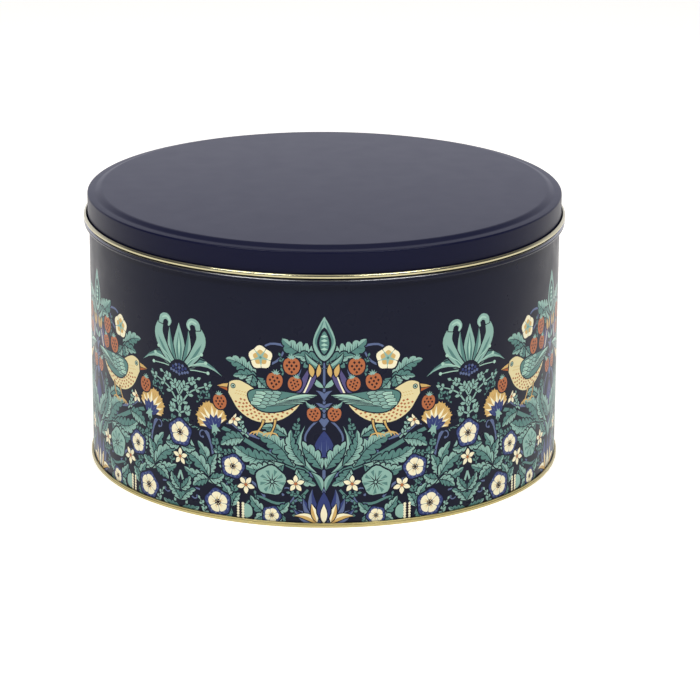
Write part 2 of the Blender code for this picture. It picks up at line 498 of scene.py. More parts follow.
def ribbon(ink, route, start, middle, end, steps=4, rim=0):
    """A stem: a smooth line through the route, as wide as it is told at its start, middle and end."""
    line = flow(route, steps)
    last = len(line) - 1
    left, right = [], []
    for i, here in enumerate(line):
        t = i / last
        wide = start * (1 - t) + end * t + (middle - (start + end) / 2) * sin(pi * t)
        across = 1j * heading(line[min(i + 1, last)] - line[max(i - 1, 0)]) * wide / 2
        left.append(here + across)
        right.append(here - across)
    rimmed(ink, left + right[::-1], rim)


PETALS = 5                  # on a flower, and as many soft lobes on its frill


def disc(ink, at, radius, sides, wave=0.0, turn=0.0):
    """A round patch. A wave gives it as many soft lobes as a flower has petals."""
    lobes = PETALS * 2 * pi
    lay(ink, [at + rect(radius * (1 + wave * cos(lobes * k / sides)), turn + 2 * pi * k / sides)
              for k in range(sides)])


print("half a repeat is", HALF, "mm, and", round(2 * pi * WALL_RADIUS / MM / HALF / 2, 3), "go round")

# %% [markdown]
# **Leaves and stems.** Printed foliage is built from one idea: a midrib that bows, an outline that
# swells and tapers along it, and one side kept darker than the other. The lobed leaf adds teeth and
# veins. A sprig is a stem with small paired leaflets, and it fills the gaps between the big motifs.

# %% Foliage
LEAFLET_RIM = 0.45          # millimetres of ground round a sprig


def rib(root, tip, bow):
    """The midrib as a function of how far along it is, bowed to one side."""
    return lambda t: root + (tip - root) * (t + 1j * bow * 4 * t * (1 - t))


def blade(ink, root, tip, width, bow, shade=None, edge=0.6):
    """A plain pointed leaf or petal."""
    spine = rib(root, tip, bow)
    across = 1j * heading(tip - root) * width / 2
    left = [spine(t / 6) + across * sin(pi * (t / 6) ** 0.85) for t in range(1, 6)]
    right = [spine(t / 6) - across * sin(pi * (t / 6) ** 0.85) for t in range(5, 0, -1)]
    rimmed(ink, [root] + left + [tip] + right, edge)
    if shade:
        lay(shade, [root] + [spine(t / 6) for t in range(1, 6)] + [tip] + right)


def leaf(root, tip, width, lobes, bow, side=1):
    """A toothed leaf, with its far side shaded and its veins left in ground."""
    spine = rib(root, tip, bow)
    way = heading(tip - root)

    def out(t, s, reach):
        lean = heading(spine(min(t + 0.05, 1)) - spine(max(t - 0.05, 0)))
        return spine(t) + s * 1j * lean * width / 2 * reach * sin(pi * min(t, 1) ** 0.8) ** 0.75

    def half(s):
        line = [root]
        for k in range(lobes):
            line += [out((k + 0.15) / lobes, s, 0.60), out((k + 0.45) / lobes, s, 0.93),
                     out((k + 0.78) / lobes, s, 1.10), out(min((k + 1.06) / lobes, 0.985), s, 1.06)]
        return line[:-1] + [tip]

    lit, dark = half(side), half(-side)
    rimmed("leaf", lit + dark[-2:0:-1], 0.75)
    lay("leaf_shade", dark + [spine(t / 6) for t in range(5, 0, -1)])
    for k in range(lobes * 2 - 1):
        t = 0.1 + 0.36 * k / lobes
        end = out(t + 0.13, side, 0.66)
        lay("leaf_shade", [spine(t), spine(t) + way * 0.05 * abs(tip - root), end])
    ribbon("ground", [spine(t) for t in (0.02, 0.35, 0.65, 0.93)], 0.5, 0.42, 0.12, 2)
    for k in range(lobes - 1):
        t = (k + 0.35) / lobes
        for s in (1, -1):
            vein_end = out(t + 0.62 / lobes, s, 0.88)
            lay("ground", [spine(t), spine(t) + way * 0.5, vein_end])


def sprig(ink, route, pairs, long, wide):
    """A stem with paired leaflets that get smaller towards its tip."""
    line = flow(route, 4)
    ribbon(ink, route, 0.9, 0.81, 0.45, 3, LEAFLET_RIM)
    leaflets = []
    for k in range(pairs):
        i = 1 + round((len(line) - 3) * (k + 0.5) / pairs)
        way = heading(line[i + 1] - line[i - 1])
        size = long * (1.0 - 0.45 * k / pairs)
        for s in (1, -1):
            lean = way * rect(size, s * 0.85)
            bulge = way * rect(wide / 2, s * (0.85 + pi / 2))
            shape = (0, lean * 0.35 + bulge * 0.9, lean * 0.72 + bulge, lean,
                     lean * 0.74 - bulge * 0.8, lean * 0.35 - bulge * 0.7)
            leaflets.append([line[i] + p for p in shape])
    end = line[-1]
    way = heading(end - line[-3])
    leaflets.append([end - way * 0.4, end + way * long * 0.35 + 1j * way * wide / 2,
                     end + way * long * 0.7, end + way * long * 0.35 - 1j * way * wide / 2])
    for leaflet in leaflets:
        lay("ground", grown(leaflet, LEAFLET_RIM))
    for leaflet in leaflets:
        lay(ink, leaflet)


def tendril(start, centre, turns):
    """A climbing stem's curl: it leaves its start and winds in round a centre."""
    count = max(int(8 * abs(turns)), 5)
    route = [centre + (start - centre) * rect(1 - 0.78 * k / count, 2 * pi * turns * k / count)
             for k in range(count + 1)]
    ribbon("vine", route, 0.9, 0.72, 0.54, 2)
    disc("vine", route[-1], 0.675, 8)


print("foliage: blade, leaf, sprig and tendril")

# %% [markdown]
# **Flowers and berries.** The flowers are generic garden ones: a five-petalled one with a blue frill
# and a dark eye, a round open blossom, a small star, and a tuft like a thistle's. Each is one petal
# drawn pointing right and turned round the flower's middle.

# %% Flowers and berries
def ways_round(count, turn, shift=0.0):
    """Directions at even angles all the way round, the first one turned by this much."""
    return [rect(1, turn + 2 * pi * (k + shift) / count) for k in range(count)]


def petals(ink, at, inner, outer, width, turn, tip):
    """Rounded petals that are widest this far along."""
    third = inner + (outer - inner) * 0.45
    wide = inner + (outer - inner) * tip
    shape = [inner, third + 0.42j * width, wide + 0.5j * width,
             outer, wide - 0.5j * width, third - 0.42j * width]
    for way in ways_round(PETALS, turn):
        lay(ink, flow([at + way * p for p in shape], 2, True))


def anemone(at, radius, turn):
    """Five cream petals on a blue frill, with a seeded dark eye."""
    disc("ground", at, radius * 1.17, 20, 0.06, turn)
    disc("deep_blue", at, radius * 1.04, 30, 0.08, turn)
    for way in ways_round(3 * PETALS, turn, 0.5):
        lay_turned("vine", at, way * radius, (0.70, rect(0.96, 0.10), rect(0.96, -0.10)))
    petals("cream", at, radius * 0.14, radius * 0.82, radius * 0.74, turn, 0.78)
    for way in ways_round(PETALS, turn):
        for lean in (-0.16, 0.16):
            streak = (rect(0.22, 2 * lean), rect(0.27, 0.2 * lean), rect(0.56, 0.9 * lean))
            lay_turned("ochre", at, way * radius, streak)
    disc("umber", at, radius * 0.25, 12)
    for way in ways_round(6, turn):
        disc("cream", at + way * radius * 0.16, radius * 0.045, 4)


def blossom(at, radius, turn):
    """A round open blossom whose green sepals show between its petals."""
    disc("ground", at, radius * 1.14, 20, 0.08, turn)
    disc("cream", at, radius * 0.98, 30, 0.08, turn)
    petals("ochre", at, radius * 0.08, radius * 0.68, radius * 0.50, turn, 0.72)
    for way in ways_round(PETALS, turn, 0.5):
        lay_turned("ground", at, way * radius, (0.5, rect(0.93, 0.035), rect(0.93, -0.035)))
        lay_turned("leaf", at, way * radius, (rect(0.18, 0.9), 0.80, rect(0.18, -0.9)))
    disc("leaf", at, radius * 0.22, 10)
    disc("leaf_shade", at, radius * 0.11, 8)


def star(at, radius, turn):
    """A small five-petalled star with a red eye."""
    ways = [radius * way for way in ways_round(PETALS, turn)]
    for way in ways:
        lay_turned("ground", at, way, (0, rect(0.75, 0.55), 1.2, rect(0.75, -0.55)))
    for way in ways:
        petal = (0.14, rect(0.6, 0.45), 1, rect(0.6, -0.45))
        lay("cream", flow([at + way * p for p in petal], 3, True))
        lay_turned("ochre", at, way, (rect(0.1, 0.6), rect(0.1, -0.6), 0.55))
    disc("berry", at, radius * 0.17, 8)


def berry(at, radius, hang):
    """A seeded berry under a green frill, hanging in the direction given."""
    across = (0, 0.42, 0.74, 0.92, 0.98, 0.93, 0.74, 0.40)
    down = (-0.86, -0.84, -0.66, -0.34, 0.04, 0.44, 0.84, 1.12)
    side = [complex(z, x) for z, x in zip(down, across)]
    whole = [at + hang * radius * p for p in side + [1.2] + [p.conjugate() for p in side[:0:-1]]]
    rimmed("berry", whole)
    for row, count in ((0.84, 1), (0.47, 2), (0.08, 3), (-0.34, 2)):
        for k in range(count):
            seed = at + hang * radius * complex(row, 0.55 * (k - (count - 1) / 2))
            lay_turned("umber", seed, hang * radius, (0.21, 0.17j, -0.18, -0.17j))
    foot = at - hang * radius * 0.78
    ribbon("leaf", [foot, foot - hang * radius * 0.55], 0.6, 0.5, 0.4, 1)
    for k in range(-2, 3):
        way = -hang * rect(radius, 0.62 * k)
        tip = foot + way * 0.62 - hang * 0.1
        lay("leaf", [foot + way * (0.05 + 0.15j), tip, foot + way * (0.05 - 0.15j)])


def plume(at, way, size):
    """A tuft like a thistle's: frilled straw petals in a fan over a blue cup."""
    lay("ground", [at + way * rect(size * 1.2, a) for a in (-1.25, -0.8, -0.4, 0, 0.4, 0.8, 1.25)]
        + [at - way * size * 0.25])
    frill = [0, 0.55 + 0.17j, 0.80 + 0.24j, 0.86 + 0.13j, 0.97 + 0.14j, 0.92 + 0.02j, 1.0, 0.92 - 0.04j,
             0.96 - 0.15j, 0.84 - 0.14j, 0.78 - 0.25j, 0.55 - 0.17j]
    for lean, long in ((-0.95, 0.80), (0.95, 0.80), (-0.62, 0.98), (0.62, 0.98), (-0.30, 1.05),
                       (0.30, 1.05), (0, 1.12)):
        petal = way * rect(size * long, lean)
        lay_turned("ochre", at, petal, frill)
        for q in (-0.10j, 0.10j):
            lay_turned("cream", at, petal, (0.1, 0.5 + 1.5 * q, 0.80 + 1.7 * q, 0.5 + 0.3 * q))
            lay_turned("rust", at, petal, (0.62 + 0.2 * q, 0.70 + 0.4 * q, 0.93 + 0.6 * q))
    cup = (-0.1, 0.18 + 0.15j, 0.40 + 0.10j, 0.58, 0.40 - 0.10j, 0.18 - 0.15j)
    for lean in (-0.9, 0.9, -0.5, 0.5, 0):
        sepal = way * rect(size, lean)
        lay_turned("deep_blue", at, sepal, cup)
        lay_turned("vine", at, sepal, (0.12 + 0.03j, 0.48, 0.12 - 0.03j))
    for lean in (-0.8, 0, 0.8):
        lay_turned("leaf", at, way * rect(size, lean), (-0.28, -0.05 + 0.1j, 0.2, -0.05 - 0.1j))


def seed_pod(at):
    """A split pod that shows its seeds."""
    disc("ground", at, 4.3, 14)
    lay("leaf", flow([at + p for p in (0.4 + 3.6j, -3.0 + 2.4j, -3.4 - 2.0j, 0.4 - 3.6j)], 3, True))
    for x, size, ink, inset in ((1.4, 0.80, "cream", 0), (2.8, 0.58, "umber", 1),
                                (4.0, 0.72, "cream", 0)):
        for k in range(6 - inset):
            disc(ink, at + x + 1j * (1.4 * k - 3.4 + 0.7 * inset), size, 8)


def round_leaf(at, radius):
    """A round scalloped leaf with veins from its middle."""
    disc("ground", at, radius * 1.12, 25, 0.07, 0.4)
    disc("leaf", at, radius, 25, 0.07, 0.4)
    middle = at - 0.8 - 0.6j
    for way in ways_round(9, 0.2):
        shadow = (rect(0.32, 0.26), rect(0.87, 0.12), rect(0.8, 0.42))
        lay_turned("leaf_shade", middle, way * radius, shadow)
        lay_turned("ground", middle, way * radius, (rect(0.1, -0.5), rect(0.1, 0.5), 0.68))


print("flowers: anemone, blossom, star, plume; fruit: berry, seed pod; and a round leaf")

# %% [markdown]
# **The songbird.** A plump generic songbird looks outwards with its tail lifted to the mirror line, so
# that the mirrored pair stand back to back. Its body is one smooth outline. The breast's specks march
# along the belly in rows, each set a little further in from that same line, so none of them spills over
# the edge. The wing is laid over the body: long flight feathers first and then three rows of coverts.

# %% The songbird
BELLY = [11.5 + 68j, 14 + 62.5j, 20.5 + 57.2j, 28.5 + 54.6j, 36.5 + 55.4j, 43.4 + 59.6j, 47.4 + 65.4j]


def songbird():
    """The whole bird: tail, body, specks, wing, beak, eye and legs."""
    back = [49.6 + 69.2j, 50.5 + 71.8j, 47.5 + 74.6j, 43.2 + 75.4j, 38.5 + 73.6j, 33.5 + 71j,
            26 + 70.4j, 17 + 70.2j]
    for root, tip, width in ((14 + 66.5j, 2.6 + 84.5j, 3.6), (15 + 68j, 7.2 + 85j, 3.2)):
        blade("plum", root, tip, width, 0.03)
    ribbon("cream", [12 + 67j, 8.3 + 75j, 5.2 + 83.5j], 0.9, 0.8, 0.3, 2)
    blade("ochre", 5.9 + 79.5j, 7.4 + 86.4j, 2.7, 0.05)
    blade("ochre", 3.4 + 79.5j, 2.6 + 86.4j, 2.3, 0.05)
    rimmed("straw", flow(BELLY + back, 3, True), 0.8)
    edge = flow(BELLY, 5)
    for row, start in enumerate((2, 3, 2, 17)):
        for i in range(start, len(edge) - 2, 2):
            inwards = 1j * heading(edge[i + 1] - edge[i - 1])
            speck = edge[i] + inwards * (1.3 + 1.55 * row)
            lay_turned("rust", speck, 1, (0.8, 0.1 + 0.62j, -0.75 + 0.1j, -0.1 - 0.62j))
    for k in range(7):
        for row in range(2):
            fleck = 44.6 - 1.4 * k + 0.7 * row + 1j * (69.6 - 0.15 * k - 1.5 * row)
            lay("ochre", [fleck, fleck + 0.5 + 0.3j, fleck - 0.9 + 0.8j])
    wing()
    lay("ground", [48.6 + 73.8j, 56.2 + 71.0j, 49.2 + 68.2j])
    lay("ochre", [49.2 + 73.2j, 52.4 + 72.5j, 55.4 + 71.1j, 49.9 + 71.2j])
    lay("rust", [49.9 + 70.8j, 54.6 + 70.8j, 49.7 + 69.2j])
    for ink, radius in (("umber", 1.4), ("leaf_pale", 0.98), ("ground", 0.6)):
        disc(ink, 46.6 + 72.2j, radius, 12)
    lay("cream", [46.7 + 72.4j, 47.0 + 72.4j, 46.9 + 72.7j])
    for hip, foot in ((30.5 + 55.6j, 33.5 + 49.6j), (24.5 + 56.4j, 26.5 + 49.4j)):
        ribbon("ochre", [hip, (hip + foot) / 2 - 0.5, foot], 1.4, 0.8, 0.8, 2, 0.5)
        for k in (-1, 0, 1):
            toe = [foot, foot + 1.4 * k + 1.6 - 0.8j, foot + 1.9 * k + 2.6 - 2.3j]
            ribbon("ochre", toe, 0.8, 0.7, 0.3, 2)
        ribbon("ochre", [foot, foot - 2.4 - 0.6j, foot - 3.4 - 1.8j], 0.8, 0.6, 0.3, 2)


def wing():
    """Five flight feathers and three rows of coverts on one dark outline."""
    outline = [38.6 + 68.6j, 36.4 + 70.9j, 31 + 72.0j, 23 + 71.6j, 13 + 70.6j, 3.6 + 70.2j,
               11.0 + 66.6j, 17.5 + 62.8j, 24.5 + 60.6j, 31.5 + 60.6j, 36.8 + 64.0j]
    rimmed("leaf_shade", flow(outline, 3, True))
    for k in range(5):
        root = 30.5 - 2.6 * k + 1j * (63.2 + 0.9 * k)
        blade("leaf", root, 10.2 - 1.7 * k + 1j * (65.6 + 1.1 * k), 2.0, -0.05, "leaf_pale", 0.35)
    for ink, x, z, count in (("leaf", 24.5, 70.6, 4), ("leaf", 28.6, 70.4, 5),
                             ("leaf_pale", 32.4, 69.8, 4)):
        for k in range(count):
            tip = x + 0.9 * k + 1j * (z - 1.85 * k)
            feather = [tip + p for p in (2.0 + 0.8j, -1.2 + 0.95j, -2.6 + 0.6j, -3.2, -2.6 - 0.7j,
                                         -1.2 - 0.95j, 1.8 - 0.7j)]
            rimmed(ink, feather, 0.35)
            lay("leaf_shade", [tip + 1.6 + 0.15j, tip - 2.4, tip + 1.5 - 0.2j])


print("the songbird's belly is drawn from", len(BELLY), "points")

# %% [markdown]
# **What grows on the mirror lines.** A mirrored half has to meet its twin, so the plants on the two
# mirror lines are drawn across them and trimmed later: a tall bud with leaves over the birds, a lily
# below them, and a fan-shaped plant at the other edge, between one pair of birds and the next.

# %% The crown, the lily and the fan plant
def crown():
    """The bud and the two great leaves at the top of the birds' mirror line."""
    leaf(0.4 + 88.5j, 21.0 + 99.0j, 11.5, 6, -0.10)
    leaf(1.0 + 86.0j, 15.0 + 90.5j, 6.0, 4, 0.10, -1)
    rimmed("leaf", mirrored(88j, [3.8 + 91.5j, 5.6 + 97j, 4.2 + 103j, 0.6 + 110j]), 0.8)
    lay("leaf_shade", flow([89j, 4.6 + 97j, 3.2 + 103j, 0.3 + 109j, 1.8 + 103j, 3.6 + 97j], 3, True))
    lay("ground", flow([90.5j, 2.9 + 94j, 3.5 + 99j, 105.5j, -3.5 + 99j, -2.9 + 94j], 3, True))
    lay("leaf_shade", flow([91.5j, 2.1 + 95j, 2.2 + 99j, 103.5j, -2.2 + 99j, -2.1 + 95j], 3, True))
    for k in range(4):
        lay("leaf_pale", [1.8 + 1j * (94 + 2.2 * k), 1j * (93.4 + 2.2 * k), 1j * (95.0 + 2.2 * k)])
    blade("leaf", 0.6 + 84j, 9.5 + 92j, 3.2, -0.15, "leaf_shade")


def lily():
    """What grows up the birds' mirror line: a lily, a bud, and the stem between the tails."""
    ribbon("vine", [8j, 30j, 56j, 87j], 1.7, 1.5, 1.1, 2)
    for z, width in ((53, 2.6), (60.5, 2.2), (67, 2.0)):
        blade("vine", 1j * z, 4.2 + 1j * (z + 5.5), width, 0.2, None, 0.5)
    blade("leaf", 0.3 + 74j, 5.4 + 79.5j, 2.6, -0.1)
    blade("leaf", 0.3 + 63j, 9.4 + 67.0j, 3.0, -0.22, "leaf_shade")
    bud = mirrored(31.5j, [3.4 + 33.5j, 5.2 + 38.0j, 4.4 + 44.5j, 0.8 + 50.5j])
    rimmed("deep_blue", bud, 0.8)
    for k in range(3):
        foot = 1.1 + 1.3 * k + 33.8j
        lay("vine", [foot, foot + 0.8 + 0.1j, 1.2 + 0.9 * k + 1j * (46.5 - 2.6 * k)])
    leaf(1.0 + 31j, 16.5 + 45.5j, 7.6, 5, 0.10)
    blade("leaf", 2.5 + 28j, 9.5 + 54j, 3.6, -0.25, "leaf_shade")
    for dx, dz, width in ((15.5, 9.5, 4.2), (10.5, 15.5, 4.8), (5.8, 20.5, 4.6)):
        blade("deep_blue", 0.4 + 3j, complex(dx, dz), width, -0.14, "vine")
    blade("cream", 3.0 + 1.5j, 15.0 + 5.8j, 3.4, 0.16, "ochre", 0.5)
    blade("cream", 3.4 + 2.5j, 6.2 + 12.5j, 3.2, 0.0, "ochre", 0.5)
    blade("deep_blue", 2j, 19j, 7.0, 0, None, 0.6)
    blade("cream", 2j, 12.5j, 3.4, 0, None, 0.4)
    blade("leaf", 1.0 + 19.5j, 6.5 + 29.5j, 3.2, 0.15, "leaf_shade")


def fan_plant():
    """The fan of curled petals over a scaled cup, on the far mirror line, with its leafy stalk."""
    heart = HALF + 75j
    blade("leaf", heart, HALF + 100.5j, 7.6, 0, None)
    blade("leaf_shade", heart + 3j, HALF + 96j, 3.6, 0, None, 0)
    lay("leaf_pale", [heart + 6j, heart - 0.7 + 13j, heart + 19.5j, heart + 0.7 + 13j])
    for reach, width, bow in ((-6.0 + 22.5j, 3.8, 0.08), (-21.5 + 5.6j, 5.4, -0.18),
                              (-25.5 + 1.2j, 3.4, -0.24)):
        blade("leaf", heart - 1, heart + reach, width, bow, "leaf_shade")
    petal = [-1.2 + 1j, -9 + 9j, -13.5 + 18j, -11.2 + 25.2j]
    ribbon("leaf", [heart + p for p in petal], 1.2, 6.0, 2.4, 5, 0.7)
    for k in range(4):
        streak = [-1.6 + 1j - 0.5 * k, -8.4 + 8.6j + k * (0.8j - 0.9), -11.5 + 13.5j + k * (1j - 0.8)]
        ribbon("leaf_shade", [heart + p for p in streak], 0.3, 0.7, 0.1, 3)
    hook = [-11.9 + 23.2j, -11.0 + 26.4j, -8.0 + 27.4j, -5.9 + 25.2j, -6.9 + 22.6j]
    ribbon("leaf", [heart + p for p in hook], 2.6, 3.2, 0.9, 4, 0.6)
    ribbon("leaf_pale", [heart + p for p in hook[1:]], 0.6, 1.1, 0.3, 3)
    for lean in (-0.15, 0.12, 0.42):
        tip = heart + rect(17.5, pi - 0.52 + lean)
        ribbon("leaf_pale", [heart - 2 + 1j, heart + rect(10, pi - 0.62 + lean), tip], 0.4, 0.5, 0.4, 2)
        disc("leaf_pale", tip, 0.95, 8)
    disc("ground", heart - 1.2j, 7.4, 16)
    for reach, count in ((5.6, 7), (3.9, 5), (2.2, 3), (0.6, 1)):
        for k in range(count):
            way = rect(1, radians(90 + (k - (count - 1) / 2) * (150 / max(count, 2))))
            ink = "vine" if (k + count) % 2 else "deep_blue"
            scale = (1.1, rect(1, 1.3), -0.8, rect(1, -1.3))
            lay_turned(ink, heart - 2.4j + way * reach, way, scale)
    ribbon("leaf", [HALF + 70j, HALF + 60j, HALF + 48j], 1.6, 1.8, 1.4, 2)
    for z, reach, pairs in ((57, -17 + 13j, 6), (53, -12.5 + 1.5j, 4), (63, -10.5 + 9.5j, 4)):
        root = HALF - 0.4 + 1j * z
        route = [root, root + reach * (0.5 - 0.12j), root + reach]
        sprig("leaf", route, pairs, 3.7, 1.8)


print("three plants grow on the mirror lines, at 0 and", HALF, "mm")

# %% [markdown]
# **Composing the half repeat.** Everything is laid in painter's order: thin stems and curls first, then
# foliage, then flowers, and the bird and its berries last. The lower half is meant to be crowded, with
# hardly any ground left, and it thins out upwards until the plain navy band under the lid.

# %% Compose half a repeat
def compose():
    """Lays every motif of the half repeat in painter's order."""
    stems = (
        ("vine", [24j, 10 + 30j, 19 + 33j, 27 + 39j, 24 + 47j], 1.5, 1.3, 0.9),
        ("leaf_shade", [8 + 29j, 20 + 34j, 33 + 40.5j, 46 + 47j, 57 + 50.5j], 3.0, 2.4, 1.8),
        ("vine", [13.5 + 79j, 12 + 85j, 17 + 94j, 27 + 96j, 33 + 91j], 0.9, 1.2, 0.8),
        ("vine", [19 + 95.4j, 22 + 89j, 26.5 + 85.5j, 34 + 83j, 43 + 80j], 0.8, 1.1, 0.7),
        ("vine", [8 + 79j, 7.5 + 86j, 12 + 92j, 18 + 94.6j], 0.8, 0.9, 0.8),
        ("vine", [16 + 47.5j, 26 + 45.4j, 38 + 47.4j, 47 + 52j, 50 + 58j], 1.6, 1.5, 0.8),
        ("vine", [3 + 57j, 7 + 53j, 9.5 + 47.5j, 8 + 40j], 1.0, 1.0, 0.8),
        ("leaf_shade", [8 + 20j, 14 + 14j, 24 + 12j, 34 + 15j, 40 + 10j], 1.2, 1.3, 0.8),
        ("vine", [30 + 15j, 36 + 22j, 44 + 24j, 50 + 20j, 53 + 14j], 1.2, 1.2, 0.8),
        ("vine", [60 + 22j, 58 + 32j, 60 + 42j, 66 + 50j], 1.2, 1.2, 0.8),
        ("leaf", [HALF + 48j, HALF - 8 + 37j, HALF - 12 + 27j, HALF - 17 + 20j, HALF - 30 + 17j],
         1.2, 1.5, 1.0),
        ("leaf", [HALF - 4 + 1j, HALF - 3 + 12j, HALF + 22j], 1.2, 1.4, 1.0),
    )
    for stem in stems:
        ribbon(*stem)
    for start, centre, turns in ((47 + 52j, 50.2 + 57.4j, 0.9), (22 + 12j, 19.5 + 17.5j, -0.9),
                                 (34 + 15j, 33.0 + 10.5j, -0.8), (50 + 20j, 53.5 + 20.5j, -0.9),
                                 (60 + 42j, 63.8 + 43.5j, -0.8), (66 + 14j, 68.5 + 10.5j, -0.8),
                                 (10 + 8j, 12.0 + 12.5j, 0.7), (44 + 24j, 43.6 + 26.0j, 0.8)):
        tendril(start, centre, turns)
    for ink, route, pairs, long, wide in (
            ("leaf_shade", [8 + 12j, 13 + 17j, 17 + 18j], 3, 3.0, 1.5),
            ("leaf_shade", [46 + 14j, 47 + 19j, 52 + 25j], 4, 3.0, 1.5),
            ("leaf_shade", [33 + 4j, 34 + 9j, 35 + 16j], 4, 3.0, 1.5),
            ("leaf", [64 + 1j, 63 + 4j, 66 + 9j], 3, 2.8, 1.4),
            ("leaf_shade", [52 + 33j, 56 + 38j, 57 + 44j], 4, 3.4, 1.6),
            ("leaf", [67 + 46j, 63 + 50j, 65 + 57j], 3, 3.2, 1.5),
            ("leaf_shade", [58 + 62j, 62 + 66j, 60 + 71j], 3, 2.8, 1.4),
            ("leaf_shade", [10 + 45j, 14 + 50j, 13 + 56j], 4, 3.2, 1.5),
            ("leaf_shade", [21 + 80j, 20 + 84j, 22 + 90j], 3, 2.6, 1.3),
            ("leaf_shade", [40 + 33j, 46 + 36.5j, 54 + 36j], 5, 3.2, 1.5),
            ("leaf", [51 + 26j, 53 + 30.5j, 56 + 35j], 3, 3.0, 1.4),
            ("leaf_shade", [72 + 24j, 72.5 + 29j, 70.5 + 33j], 3, 2.8, 1.3),
            ("leaf", [38.5 + 46j, 42 + 50j, 42.5 + 55j], 3, 3.0, 1.4),
            ("leaf_shade", [12 + 5j, 15 + 8j, 15.5 + 12j], 3, 2.6, 1.3),
            ("leaf_shade", [62.5 + 55j, 65.5 + 60j, 65 + 65j], 3, 2.8, 1.3)):
        sprig(ink, route, pairs, long, wide)
    lily()
    crown()
    fan_plant()
    for root, tip, width, lobes, bow, side in (
            (35 + 77j, 50.5 + 86.0j, 7.8, 5, 0.14, 1), (33.5 + 77j, 46.5 + 77.5j, 5.6, 4, 0.10, -1),
            (34 + 78j, 25.5 + 71.5j, 5.5, 4, 0.10, 1), (36 + 79j, 40 + 71j, 5.5, 4, -0.10, 1),
            (15 + 32j, 35.5 + 49.0j, 9.0, 6, 0.12, 1), (24 + 35.0j, 47.5 + 41.5j, 8.4, 6, -0.12, -1),
            (20 + 33j, 41 + 30.5j, 8.2, 6, -0.14, 1), (41 + 45j, 53.5 + 40.0j, 7.0, 5, 0.12, -1),
            (9.5 + 33j, 16.5 + 51.5j, 6.4, 5, -0.16, -1), (13.5 + 31j, 4.0 + 22.5j, 6.2, 4, 0.12, 1),
            (18.5 + 48j, 33 + 51.5j, 5.0, 4, 0.14, 1), (62 + 50j, 70.5 + 46.5j, 4.6, 4, 0.1, 1),
            (60 + 22j, 67.0 + 40.0j, 7.0, 4, 0.10, 1), (60 + 22j, 56.0 + 34.5j, 5.6, 4, -0.10, 1),
            (60.5 + 22j, 76.0 + 33.5j, 7.0, 4, 0.12, 1), (61 + 21.5j, 75.5 + 24.5j, 6.0, 4, -0.12, 1),
            (60 + 21j, 52.0 + 24.5j, 5.4, 3, 0.12, 1), (61 + 20.5j, 70.0 + 15.5j, 5.6, 4, 0.10, 1),
            (HALF - 0.3 + 6j, 68.5 + 13.5j, 5.4, 4, -0.12, 1),
            (HALF - 0.3 + 12j, 72.0 + 20.0j, 4.6, 4, 0.10, 1),
            (HALF - 0.3 + 2j, 66.5 + 4.5j, 5.0, 4, 0.12, 1), (48 + 8j, 53.5 + 20.0j, 5.2, 4, 0.10, 1),
            (47.5 + 8j, 43.0 + 15.5j, 5.0, 4, -0.12, 1), (48.0 + 7j, 50.0 + 0.5j, 4.6, 3, 0.10, 1),
            (28 + 6j, 17.5 + 13.0j, 5.2, 4, 0.12, 1), (28 + 6j, 37.5 + 15.0j, 5.2, 4, -0.12, 1),
            (28 + 5j, 35.5 + 1.5j, 4.6, 3, 0.12, 1), (HALF - 0.3 + 36j, 68.5 + 35.5j, 4.4, 3, 0.10, 1),
            (HALF - 1 + 49j, 68.0 + 51.5j, 4.6, 4, 0.14, 1), (21 + 6j, 20.0 + 0.6j, 3.6, 3, 0.10, 1)):
        leaf(root, tip, width, lobes, bow, side)
    round_leaf(27 + 24j, 7.6)
    star(14.2 + 23j, 4.6, 0.3)
    star(40 + 20.5j, 4.8, 0.9)
    star(HALF + 29.5j, 4.6, pi / 2)
    star(46.3 + 54.6j, 3.9, 0.5)
    for at, radius, turn in ((47 + 29.5j, 6.0, 0.5), (55.5 + 9j, 6.8, 0.1), (HALF + 42.5j, 6.8, pi / 2),
                             (26.5 + 5.5j, 4.6, 0.7)):
        anemone(at, radius, turn)
    blossom(32 + 88.5j, 6.0, 0.25)
    plume(57 + 48.5j, rect(1, radians(70)), 13)
    seed_pod(40.2 + 6.6j)
    songbird()
    for at, radius, lean in ((16.2 + 85.5j, 4.3, -1.57), (24.8 + 77.2j, 4.2, -1.4),
                             (14.6 + 76.2j, 3.5, -1.3), (5.2 + 60.6j, 3.5, -1.75),
                             (54 + 63.4j, 3.8, -1.7)):
        berry(at, radius, rect(1, lean))


compose()
print(len(laid), "patches of ink from", sum(len(outline) for _, outline in laid), "points")

# %% [markdown]
# **From papers to one sheet.** Overlapping papers would flicker and hide faces inside each other. A
# constrained triangulation cuts the flat half repeat along every outline at once, and tells for each
# small face which papers cover it. The last paper laid wins. Then the sheet is cut into the columns
# that it will bend along, and each cut is marked as a seam. Faces of one ink are dissolved back
# together, but not across a seam, and what is left is split into triangles. The order matters: a cut
# through large many-sided faces can leave gaps, and one through triangles doesn't. Drawing this with
# primitives would take thousands of cuts by hand, so it's made by rule.

# %% Cut the inks into one flat half repeat
COLUMNS = 12                # flat facets across half a repeat
SHEET_FOOT = 1.2            # millimetres up; what is lower is hidden in the base's rim
PRINT_FOOT = 1.9            # under this the ground runs on plain
SHEET_TOP = 126.4           # where the stop bead's section takes over
FOOT_MARGIN = 0.3           # no motif comes nearer than this to the sheet's foot
SAME_POINT = 0.02           # points of an outline that are closer than this are one
CUT_PRECISION = 1e-4        # millimetres; corners nearer than this become one


def trimmed(outline):
    """The outline kept off the sheet's foot, without repeated points, and running anticlockwise."""
    raised = [complex(p.real, max(p.imag, SHEET_FOOT + FOOT_MARGIN)) for p in outline]
    before = raised[-1:] + raised[:-1]
    kept = [here for last, here in zip(before, raised) if abs(here - last) > SAME_POINT]
    return kept if turning(kept) > 0 else kept[::-1]


